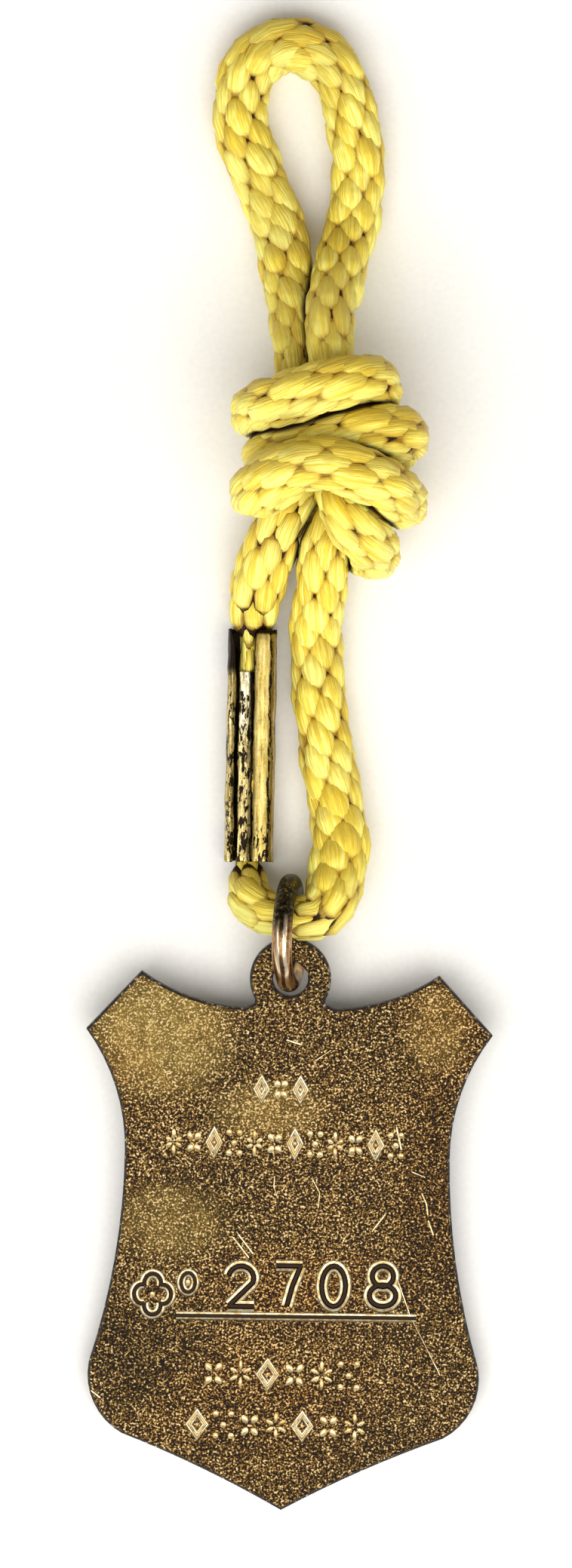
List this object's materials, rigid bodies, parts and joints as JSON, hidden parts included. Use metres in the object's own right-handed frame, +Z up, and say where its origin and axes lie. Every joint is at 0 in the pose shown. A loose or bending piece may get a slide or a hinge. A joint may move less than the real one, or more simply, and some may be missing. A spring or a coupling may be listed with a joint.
{
  "type": "enclosure badge",
  "caption": "Horned metal shield badge on a jump ring, with a knotted braided neck cord and a brass crimp tube, laid flat.",
  "frame": {"origin": "bottom centre of the box round the metal pieces (shield, jump ring and crimp), on the surface that the badge lies on", "axes": "+X across the shield to the right as its face is looked at, +Y from the shield's tip towards its lug and the cord's loop, +Z up from the surface"},
  "size_m": [0.03, 0.1104, 0.0158],
  "materials": {
    "aged_bronze": "struck sheet, tarnished brown with fine pale speckle and worn raised edges",
    "copper_bronze": "round wire, reddish brown, polished by wear",
    "worn_brass": "bent sheet, plating worn to pale brass with dark pits",
    "yellow_braid": "silky eight strand braid, slightly soiled"
  },
  "bodies": {
    "root": {"badge_shield": "aged_bronze", "jump_ring": "copper_bronze", "cord_crimp": "worn_brass", "neck_cord": "yellow_braid"}
  },
  "joints": []
}
